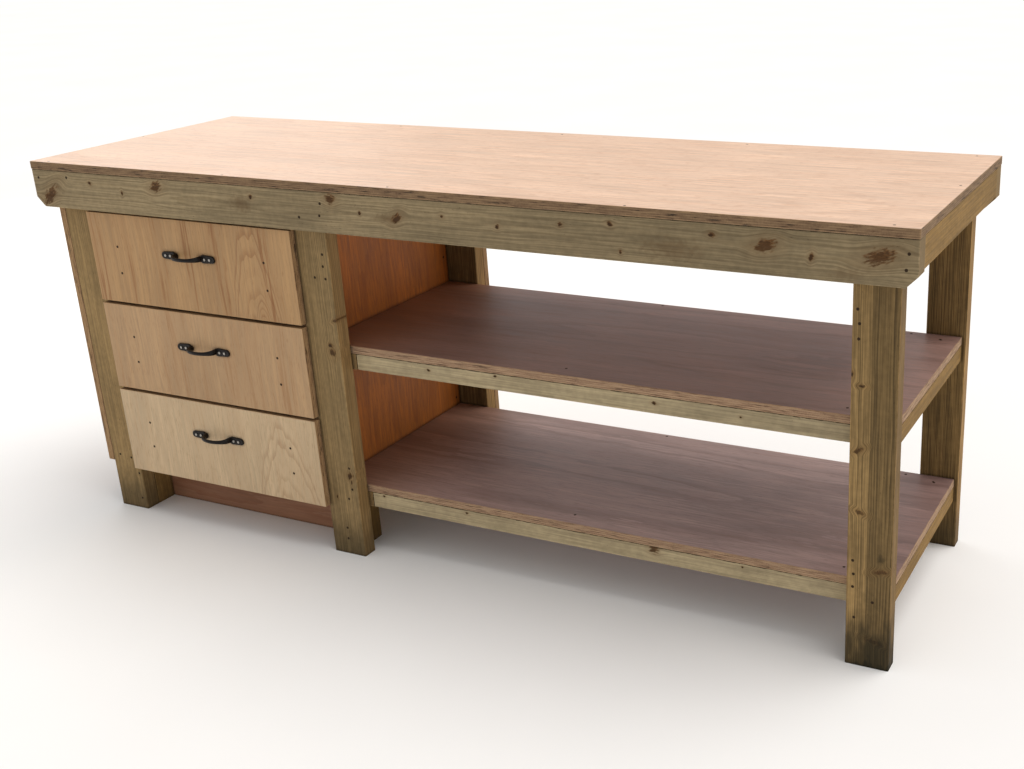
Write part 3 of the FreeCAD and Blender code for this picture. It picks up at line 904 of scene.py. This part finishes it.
# How single boards differ from plain timber
TIMBER_LOOKS = {
    "front_rail": dict(knots=FRONT_RAIL_KNOTS, stains=FRONT_RAIL_STAINS, warmth=0.13, tone=0.98, lines=0.30,
                       wander=0.03, fade=0.79, flat=True),
    "rear_rail": dict(warmth=0.6, lines=0.3, wander=0.03, flat=True),
    "cross_rail_right": dict(warmth=1.05, tone=0.92, lines=0.35),
    "leg_front_left": dict(warmth=0.7, tone=1.08, lines=0.3),
    "leg_front_middle": dict(knots=MIDDLE_LEG_KNOTS, warmth=0.6, tone=0.92, lines=0.45, wander=0.025,
                             edges=0.5, edge_gain=1.3, coarse=1.3, knot_depth=0.6),
    "leg_front_right": dict(knots=RIGHT_LEG_KNOTS, stains=RIGHT_LEG_STAINS, strip=RIGHT_LEG_STRIP,
                            warmth=0.78, tone=0.68, lines=0.75, wander=0.006, grime=0.95, edges=0.4,
                            coarse=1.5, knot_depth=0.45),
    # The low tones of the rear legs and the middle foot block are painted shade under the bench
    "leg_rear_left": dict(warmth=0.6, tone=0.8),
    "leg_rear_middle": dict(warmth=0.8, tone=0.6, lines=0.6, edges=1.0, edge_gain=1.05, coarse=2.0),
    "leg_rear_right": dict(warmth=0.9, tone=0.68, lines=0.9, wander=0.006, edges=0.8, edge_gain=1.25,
                           coarse=2.3),
    "foot_block_left": dict(warmth=1.0, tone=1.10, lines=0.7, grime=0.4),
    "foot_block_middle": dict(warmth=1.25, tone=0.72, lines=0.9, grime=0.3),
    "upper_shelf_front_rail": dict(knots=UPPER_SHELF_KNOTS, warmth=-0.1, tone=1.48, lines=0.2, fade=0.80,
                                   flat=True, face="Y"),
    "lower_shelf_front_rail": dict(knots=LOWER_SHELF_KNOTS, warmth=-0.1, tone=1.46, lines=0.2, fade=0.92,
                                   flat=True, face="Y"),
    "upper_shelf_right_rail": dict(warmth=1.1, tone=1.0),
    "lower_shelf_right_rail": dict(warmth=1.1, tone=0.95),
}


def finish_timber(looks):
    """Rails, legs, foot blocks, shelf rails and slide bearers."""
    names = node_names("_rail", "_rail_left", "_rail_middle", "_rail_right")
    names += [name for name in sorted(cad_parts) if name.startswith(("leg_", "foot_", "slide_bearer"))]
    for name in names:
        luck = random.Random("tone" + name)
        details = {"warmth": luck.uniform(0.3, 0.9), "tone": luck.uniform(0.9, 1.08)}
        details.update(TIMBER_LOOKS.get(name, {}))
        dress(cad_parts[name], softwood(name, looks, **details))


def dress_sheet(name, looks, *face, **details):
    """Dress one ply sheet of the frame."""
    dress(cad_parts[name], ply_sheet(name, looks, *face, **details))


WORKTOP_EDGE_TONE = (0.61, 0.62, 0.67)
WORKTOP_SCREWS = (
    (-0.042, -0.326), (0.500, -0.330), (1.010, -0.322), (-0.477, -0.330), (-1.010, -0.326),
    (-0.477, 0.320), (0.003, 0.318), (0.488, 0.317), (1.044, 0.021), (-1.053, 0.005), (1.010, 0.320),
)


def finish_worktop(looks):
    """The ply worktop with its screws."""
    dress_sheet("worktop", looks, "worktop_pale", "worktop_dark", "X", (0.09, 6.0, 7.0), 0.18,
                screws=WORKTOP_SCREWS, gloss=0.5, rough=0.5, pores=0.60, streaks=0.13, clouds=0.03,
                run=6.0, edge_tone=WORKTOP_EDGE_TONE)


SHELF_EDGE_TONE = (1.04, 1.09, 1.34)
# Painted light at the ends of the shelf veneers, warm bounce light by the divider and shade at the right end of
# the lower shelf, each as where the change starts, where it ends and its tone
SHELF_TINTS = {
    "upper": ((0.22, 0.02, (1.0, 0.76, 0.50)),),
    "lower": ((0.24, 0.02, (0.74, 0.60, 0.46)), (0.80, 0.98, (0.54, 0.50, 0.50))),
}


def finish_shelves(looks):
    """The two shelf boards."""
    for level in SHELVES:
        dress_sheet(f"{level}_shelf_board", looks, f"shelf_{level}", "shelf_dark", "X", (0.09, 4.0, 10.0),
                    0.30, gloss=0.5, rough=0.45, pores=0.34, streaks=0.18, flame=0.34, clouds=0.08, run=9.0,
                    edge_tone=SHELF_EDGE_TONE, gaps=0.35, tints=SHELF_TINTS[level])


PANEL_FIGURE = (0.05, 5.0, 12.0)
SIDE_VENEER = ("side_pale", "panel_dark", "Z", PANEL_FIGURE, 0.24)
SIDE_DETAILS = dict(pores=0.30, streaks=0.10, flame=0.2, clouds=0.05)


def back_panel_corners():
    """Opposite corners of the cabinet's back, over both rear legs and up to the rear rail."""
    left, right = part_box("leg_rear_left"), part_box("leg_rear_middle")
    foot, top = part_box("side_panel")[0].z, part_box("rear_rail")[0].z
    return Vector((left[0].x, left[1].y, foot)), Vector((right[1].x, left[1].y + SHEET_THICK, top))


def add_back_panel(looks):
    """The ply sheet that closes the back of the drawer cabinet."""
    low, high = back_panel_corners()
    shape = bmesh.new()
    bmesh.ops.create_cube(shape, size=1.0)
    bmesh.ops.scale(shape, vec=high - low, verts=shape.verts)
    bmesh.ops.translate(shape, vec=(low + high) / 2, verts=shape.verts)
    bmesh.ops.bevel(shape, geom=shape.edges[:], offset=SHEET_ARRIS, segments=1, affect="EDGES")
    piece = add_shape(BACK_PANEL, shape)
    dress(piece, ply_sheet(BACK_PANEL, looks, *SIDE_VENEER, **SIDE_DETAILS, gaps=0.3, corners=(low, high)))
    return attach(piece, BENCH)


def finish_panels(looks):
    """Side panel, divider, plinth board and back panel."""
    dress_sheet("divider_panel", looks, "divider_pale", "panel_dark", "Z", PANEL_FIGURE, 0.26,
                pores=0.35, streaks=0.16, flame=0.3, clouds=0.10, run=15.0)
    dress_sheet("side_panel", looks, *SIDE_VENEER, **SIDE_DETAILS)
    dress_sheet("plinth_board", looks, "plinth", "panel_dark", "X", (0.06, 6.0, 12.0), 0.3, streaks=0.1)
    add_back_panel(looks)


# Arches of figure in the drawer fronts, as place across, foot, half width, height and lines
DRAWER_ARCHES = {
    "top": ((-0.447, 0.560, 0.078, 0.280, 5.5), (-0.425, 0.555, 0.030, 0.080, 3.0)),
    "middle": (),
    "bottom": ((-0.430, 0.090, 0.110, 0.260, 6.0),),
}
DRAWER_FIGURE = {"top": 0.46, "middle": 0.20, "bottom": 0.26}
DRAWER_FLAME = {"top": 0.70, "middle": 0.40, "bottom": 0.25}


def finish_drawer_fronts(looks):
    """The three ply drawer fronts, with upright grain."""
    for level in DRAWERS:
        dress_sheet(f"{level}_drawer_front", looks, f"drawer_{level}", "drawer_dark", "Z", (0.034, 2.4, 26.0),
                    DRAWER_FIGURE[level], arches=DRAWER_ARCHES[level], pores=0.32, streaks=0.10,
                    flame=DRAWER_FLAME[level])


def finish_drawer_boxes(looks):
    """The boards of the drawer boxes."""
    for name in node_names("_box_left", "_box_right", "_box_front", "_box_back", "_box_bottom"):
        dress_sheet(name, looks, "box_pale", "box_dark", None, (0.06, 6.0, 8.0), 0.3)


def finish_fittings(looks):
    """Pull handles with their screws, and the drawer slides."""
    iron = black_iron(looks)
    bright = plated_steel("bright_screw", looks, 0.28)
    slide = plated_steel("slide_steel", looks, 0.36)
    endings = {
        ("_drawer_handle",): iron,
        ("_handle_screws",): bright,
        ("_slide_inner", "drawer_slides_outer"): slide,
    }
    for kinds, material in endings.items():
        for name in node_names(*kinds):
            dress(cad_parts[name], material)


# Sunk screws, each by its two coordinates in the face that it lies in
FRONT_SCREW_X = (-0.848, -0.408)
FRONT_SCREW_DROP = 0.003
FRONT_SCREW_SPREAD = 0.032
RAIL_SCREWS = (
    (-1.042, 0.862), (-0.950, 0.867), (-0.273, 0.823), (-0.213, 0.856), (-0.218, 0.830), (1.041, 0.855),
    (1.037, 0.826),
)
LEG_SCREWS = (
    (0.942, 0.736), (0.946, 0.709), (0.945, 0.680), (0.944, 0.231), (0.946, 0.202), (0.945, 0.174),
    (0.985, 0.147), (0.949, 0.107), (-0.257, 0.733), (-0.259, 0.706), (-0.285, 0.679), (-0.256, 0.678),
    (-0.258, 0.225), (-0.256, 0.172), (-0.269, 0.146), (-0.285, 0.068), (-0.286, 0.040), (-0.996, 0.144),
    (-0.959, 0.140), (-0.941, 0.099), (-0.946, 0.029),
)
REAR_RAIL_SCREWS = (
    (-1.041, 0.858), (-0.953, 0.864), (-0.974, 0.822), (-0.276, 0.826), (-0.215, 0.858), (-0.220, 0.829),
    (0.952, 0.862), (0.978, 0.824), (1.039, 0.857), (1.041, 0.828),
)
BACK_PANEL_SCREWS = (
    (-0.975, 0.760), (-0.979, 0.560), (-0.974, 0.352), (-0.977, 0.160),
    (-0.284, 0.762), (-0.287, 0.557), (-0.283, 0.355), (-0.286, 0.158),
)
SIDE_PANEL_SCREWS = (
    (-0.279, 0.779), (-0.280, 0.566), (-0.278, 0.361), (-0.281, 0.165),
    (0.280, 0.781), (0.278, 0.563), (0.281, 0.357), (0.279, 0.163),
)
DIVIDER_SCREWS = ((0.247, 0.581), (0.247, 0.192))
SHELF_SCREWS = (
    (0.293, 0.250), (0.903, 0.246), (0.971, 0.229), (0.290, -0.221), (0.905, -0.226), (0.974, 0.225),
)


def add_screws(looks):
    """Sunk screws in the rails, legs, panels, shelves and drawer fronts."""
    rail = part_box("front_rail")[0].y
    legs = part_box("leg_front_right")[0].y
    rear_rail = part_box("rear_rail")[1].y
    back = back_panel_corners()[1].y
    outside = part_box("side_panel")[0].x
    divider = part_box("divider_panel")[1].x
    forward, backward, up = (0, -1, 0), (0, 1, 0), (0, 0, 1)
    groups = (
        ("rear_rail_screws", [(x, rear_rail, z) for x, z in REAR_RAIL_SCREWS], backward),
        ("back_panel_screws", [(x, back, z) for x, z in BACK_PANEL_SCREWS], backward),
        ("side_panel_screws", [(outside, y, z) for y, z in SIDE_PANEL_SCREWS], (-1, 0, 0)),
        ("front_rail_screws", [(x, rail, z) for x, z in RAIL_SCREWS], forward),
        ("leg_screws", [(x, legs, z) for x, z in LEG_SCREWS], forward),
        ("divider_screws", [(divider, y, z) for y, z in DIVIDER_SCREWS], (1, 0, 0)),
    )
    for name, places, out in groups:
        screw_discs(name, BENCH, places, out, looks)
    for level in SHELVES:
        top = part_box(f"{level}_shelf_board")[1].z
        screw_discs(f"{level}_shelf_screws", BENCH, [(x, y, top) for x, y in SHELF_SCREWS], up, looks)
    for level in DRAWERS:
        low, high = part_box(f"{level}_drawer_front")
        middle = (low.z + high.z) / 2 - FRONT_SCREW_DROP
        heights = (middle - FRONT_SCREW_SPREAD, middle + FRONT_SCREW_SPREAD)
        places = [(x, low.y, z) for x in FRONT_SCREW_X for z in heights]
        screw_discs(f"{level}_drawer_front_screws", f"drawer_{level}", places, forward, looks)


def set_stage():
    """Floor, sky, lights and camera."""
    scene = bpy.context.scene
    scene.view_settings.view_transform = "Standard"
    half = FLOOR_SIZE / 2
    corners = [(-half, -half, 0), (half, -half, 0), (half, half, 0), (-half, half, 0)]
    mesh = bpy.data.meshes.new("floor")
    mesh.from_pydata(corners, [], [(0, 1, 2, 3)])
    floor = add_object("floor", mesh)
    material, tree, shader, place = start_material("floor_paint")
    cloud = between(noise(place, (1.5, 1.5, 1.5), 3), 0.2, 0.8)
    coat(shader, mix(cloud, *FLOOR_TONES), FLOOR_ROUGHNESS)
    dress(floor, material)
    floor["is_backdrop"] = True
    scene.world = bpy.data.worlds.new("sky")
    scene.world.use_nodes = True
    tree = scene.world.node_tree
    sky = tree.nodes["Background"]
    sky.inputs["Color"].default_value = (1, 1, 1, 1)
    seen = node("ShaderNodeLightPath", tree=tree).outputs["Is Camera Ray"]
    feed(sky.inputs["Strength"], ramp(seen, SKY_STRENGTH, BACKDROP_STRENGTH))
    lamp = bpy.data.lights.new("high_sun", "SUN")
    lamp.energy = SUN_STRENGTH
    lamp.angle = math.radians(SUN_SPREAD)
    lamp.color = SUN_COLOUR
    sun = add_object("high_sun", lamp)
    sun.rotation_euler = Vector(SUN_PLACE).to_track_quat("Z", "Y").to_euler()
    lamp = bpy.data.lights.new("left_softbox", "AREA")
    lamp.size = SOFTBOX_SIZE
    lamp.energy = SOFTBOX_POWER
    box = add_object("left_softbox", lamp)
    box.location = SOFTBOX_PLACE
    box.rotation_euler = (Vector(SOFTBOX_PLACE) - Vector(SOFTBOX_AIM)).to_track_quat("Z", "Y").to_euler()
    camera = add_object("camera", bpy.data.cameras.new("camera"))
    camera.data.sensor_width = CAMERA_SENSOR
    camera.data.lens = CAMERA_LENS
    camera.data.shift_x = CAMERA_SHIFT_X
    camera.location = CAMERA_PLACE
    camera.rotation_euler = [math.radians(turn) for turn in CAMERA_TURN]
    scene.camera = camera


# Operators, panel and registration


def looks_of(context):
    """Colours and sizes that the user has set."""
    return context.scene.workbench_colours, context.scene.workbench_sizes


class WORKBENCH_OT_stage(bpy.types.Operator):
    """Set the floor, sky, lights and camera"""

    bl_idname = "workbench.stage"
    bl_label = "Stage"

    def execute(self, context):
        set_stage()
        return {"FINISHED"}


class WORKBENCH_OT_timber(bpy.types.Operator):
    """Finish the rails, legs, foot blocks and bearers"""

    bl_idname = "workbench.timber"
    bl_label = "Timber"

    def execute(self, context):
        finish_timber(looks_of(context))
        return {"FINISHED"}


class WORKBENCH_OT_worktop(bpy.types.Operator):
    """Finish the ply worktop and its screws"""

    bl_idname = "workbench.worktop"
    bl_label = "Worktop"

    def execute(self, context):
        finish_worktop(looks_of(context))
        return {"FINISHED"}


class WORKBENCH_OT_shelves(bpy.types.Operator):
    """Finish the two shelf boards"""

    bl_idname = "workbench.shelves"
    bl_label = "Shelves"

    def execute(self, context):
        finish_shelves(looks_of(context))
        return {"FINISHED"}


class WORKBENCH_OT_panels(bpy.types.Operator):
    """Finish the side panel, divider and plinth board, and add the back panel"""

    bl_idname = "workbench.panels"
    bl_label = "Panels"

    def execute(self, context):
        finish_panels(looks_of(context))
        return {"FINISHED"}


class WORKBENCH_OT_drawer_fronts(bpy.types.Operator):
    """Finish the three drawer fronts"""

    bl_idname = "workbench.drawer_fronts"
    bl_label = "Drawer Fronts"

    def execute(self, context):
        finish_drawer_fronts(looks_of(context))
        return {"FINISHED"}


class WORKBENCH_OT_drawer_boxes(bpy.types.Operator):
    """Finish the drawer boxes"""

    bl_idname = "workbench.drawer_boxes"
    bl_label = "Drawer Boxes"

    def execute(self, context):
        finish_drawer_boxes(looks_of(context))
        return {"FINISHED"}


class WORKBENCH_OT_fittings(bpy.types.Operator):
    """Finish the pull handles, their screws and the drawer slides"""

    bl_idname = "workbench.fittings"
    bl_label = "Fittings"

    def execute(self, context):
        finish_fittings(looks_of(context))
        return {"FINISHED"}


class WORKBENCH_OT_screws(bpy.types.Operator):
    """Add the sunk screws of the frame, panels, shelves and drawer fronts"""

    bl_idname = "workbench.screws"
    bl_label = "Sunk Screws"

    def execute(self, context):
        add_screws(looks_of(context))
        return {"FINISHED"}


OPERATORS = (
    WORKBENCH_OT_stage,
    WORKBENCH_OT_timber,
    WORKBENCH_OT_worktop,
    WORKBENCH_OT_shelves,
    WORKBENCH_OT_panels,
    WORKBENCH_OT_drawer_fronts,
    WORKBENCH_OT_drawer_boxes,
    WORKBENCH_OT_fittings,
    WORKBENCH_OT_screws,
)


class WORKBENCH_PT_looks(bpy.types.Panel):
    """Lists the steps that finish the bench, with their colours and sizes"""

    bl_idname = "WORKBENCH_PT_looks"
    bl_label = "Workbench"
    bl_space_type = "VIEW_3D"
    bl_region_type = "UI"
    bl_category = "Workbench"

    def draw(self, context):
        for step in OPERATORS:
            self.layout.operator(step.bl_idname)
        for group in looks_of(context):
            box = self.layout.box()
            for name in group.__annotations__:
                box.prop(group, name)


CLASSES = (WorkbenchColours, WorkbenchSizes, *OPERATORS, WORKBENCH_PT_looks)


def register():
    """Make the classes and settings known."""
    for kind in CLASSES:
        bpy.utils.register_class(kind)
    bpy.types.Scene.workbench_colours = PointerProperty(type=WorkbenchColours)
    bpy.types.Scene.workbench_sizes = PointerProperty(type=WorkbenchSizes)


def unregister():
    """Forget the classes and settings."""
    del bpy.types.Scene.workbench_sizes
    del bpy.types.Scene.workbench_colours
    for kind in reversed(CLASSES):
        bpy.utils.unregister_class(kind)


def main():
    """Finish the whole bench and work out its sizes."""
    register()
    for step in OPERATORS:
        group, name = step.bl_idname.split(".")
        getattr(getattr(bpy.ops, group), name)()
    boxes = {"cad": [list(corner) for corner in CAD_BOX], "visual": [list(corner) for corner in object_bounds()]}


if __name__ == "__main__":
    main()
